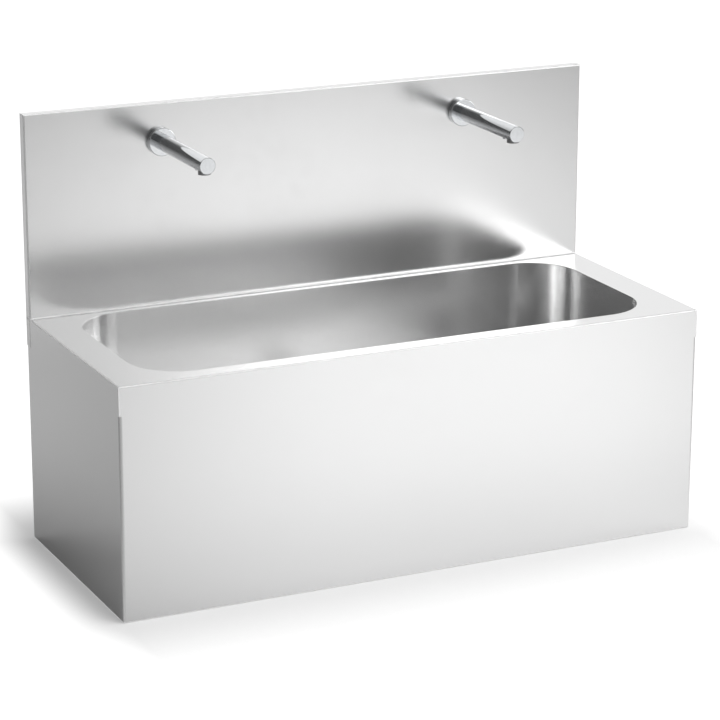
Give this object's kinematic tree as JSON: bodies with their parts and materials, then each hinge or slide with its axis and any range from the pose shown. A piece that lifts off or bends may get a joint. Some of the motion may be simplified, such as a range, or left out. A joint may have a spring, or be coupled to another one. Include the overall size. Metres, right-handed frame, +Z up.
{
  "type": "hand wash sink",
  "caption": "Wall-hung stainless steel trough hand wash sink with deep basin, upright splashback and sensor wall spouts.",
  "frame": {"origin": "centre of the footprint on the plane of the skirt's bottom edge", "axes": "+X to the right seen from the front, +Y back towards the wall, +Z up"},
  "size_m": [1.2, 0.5, 0.85],
  "materials": {
    "brushed_sheet": "fine brushed stainless steel sheet",
    "galvanised_sheet": "dull zinc-coated steel sheet",
    "sound_pad": "black bitumen-like damping pad",
    "zinc_screw": "bright zinc plating",
    "polished_waste": "polished stainless steel",
    "seal_rubber": "black rubber",
    "trap_plastic": "white polypropylene, slightly satin",
    "tap_chrome": "mirror chrome",
    "aerator_plastic": "grey acetal",
    "sensor_lens": "black glossy infrared window",
    "plain_brass": "plain cast and turned brass",
    "plated_brass": "nickel plating",
    "copper_pipe": "drawn copper tube",
    "coil_plastic": "black moulded coil",
    "plunger_steel": "ground magnetic steel",
    "hot_lever": "red dipped lever",
    "cold_lever": "blue dipped lever",
    "knob_plastic": "light grey moulded plastic",
    "clip_plastic": "grey nylon",
    "box_plastic": "light grey polycarbonate",
    "cable_sheath": "black cable sheath"
  },
  "bodies": {
    "sink": {"deck_top": "brushed_sheet", "splashback": "brushed_sheet", "apron_skirt": "brushed_sheet", "basin_bowl": "brushed_sheet", "front_joint_angle": "galvanised_sheet", "side_joint_angles": "galvanised_sheet", "service_panel": "galvanised_sheet", "hanger_hook": "galvanised_sheet", "wall_rail": "galvanised_sheet", "sound_pads": "sound_pad", "panel_screws": "zinc_screw", "splashback_bolts": "zinc_screw", "splashback_nuts": "zinc_screw", "waste_flange": "polished_waste", "waste_strainer": "polished_waste", "strainer_screw": "polished_waste", "waste_seals": "seal_rubber", "tap_seals": "seal_rubber", "waste_backnut": "trap_plastic", "trap_inlet_tube": "trap_plastic", "slip_nuts": "trap_plastic", "trap_body": "trap_plastic", "trap_cup": "trap_plastic", "trap_outlet_pipe": "trap_plastic", "left_tap_flange": "tap_chrome", "left_tap_sleeve": "tap_chrome", "left_spout_tube": "tap_chrome", "left_spout_end_cap": "tap_chrome", "right_tap_flange": "tap_chrome", "right_tap_sleeve": "tap_chrome", "right_spout_tube": "tap_chrome", "right_spout_end_cap": "tap_chrome", "left_aerator": "aerator_plastic", "right_aerator": "aerator_plastic", "left_sensor_lens": "sensor_lens", "right_sensor_lens": "sensor_lens", "left_tap_elbow": "plain_brass", "right_tap_elbow": "plain_brass", "tap_backnuts": "plain_brass", "left_solenoid_body": "plain_brass", "right_solenoid_body": "plain_brass", "union_nuts": "plain_brass", "mixing_valve": "plain_brass", "hot_stop_valve": "plated_brass", "cold_stop_valve": "plated_brass", "left_supply_pipe": "copper_pipe", "right_supply_pipe": "copper_pipe", "distribution_pipe": "copper_pipe", "left_solenoid_coil": "coil_plastic", "right_solenoid_coil": "coil_plastic", "pipe_clips": "clip_plastic", "control_box": "box_plastic", "control_box_lid": "box_plastic", "sensor_cables": "cable_sheath", "coil_leads": "cable_sheath"},
    "hot_lever": {"hot_stop_lever": "hot_lever"},
    "cold_lever": {"cold_stop_lever": "cold_lever"},
    "temperature_knob": {"mixing_knob": "knob_plastic"},
    "left_plunger": {"left_solenoid_plunger": "plunger_steel"},
    "right_plunger": {"right_solenoid_plunger": "plunger_steel"}
  },
  "joints": [
    {"name": "hot_stop_turn", "type": "hinge", "parent": "sink", "child": "hot_lever", "pos_m": [0.12, 0.19, 0.17], "axis": [0, 1, 0], "range_deg": [0, 90]},
    {"name": "cold_stop_turn", "type": "hinge", "parent": "sink", "child": "cold_lever", "pos_m": [0.28, 0.19, 0.17], "axis": [0, 1, 0], "range_deg": [0, 90]},
    {"name": "mixing_knob_turn", "type": "hinge", "parent": "sink", "child": "temperature_knob", "pos_m": [0.2, 0.19, 0.17], "axis": [0, -1, 0], "range_deg": [-135, 135]},
    {"name": "left_plunger_lift", "type": "slide", "parent": "sink", "child": "left_plunger", "axis": [0, -1, 0], "range_m": [0, 0.0025], "stiffness_N_per_m": 200, "springref_m": -0.003},
    {"name": "right_plunger_lift", "type": "slide", "parent": "sink", "child": "right_plunger", "axis": [0, -1, 0], "range_m": [0, 0.0025], "stiffness_N_per_m": 200, "springref_m": -0.003}
  ]
}
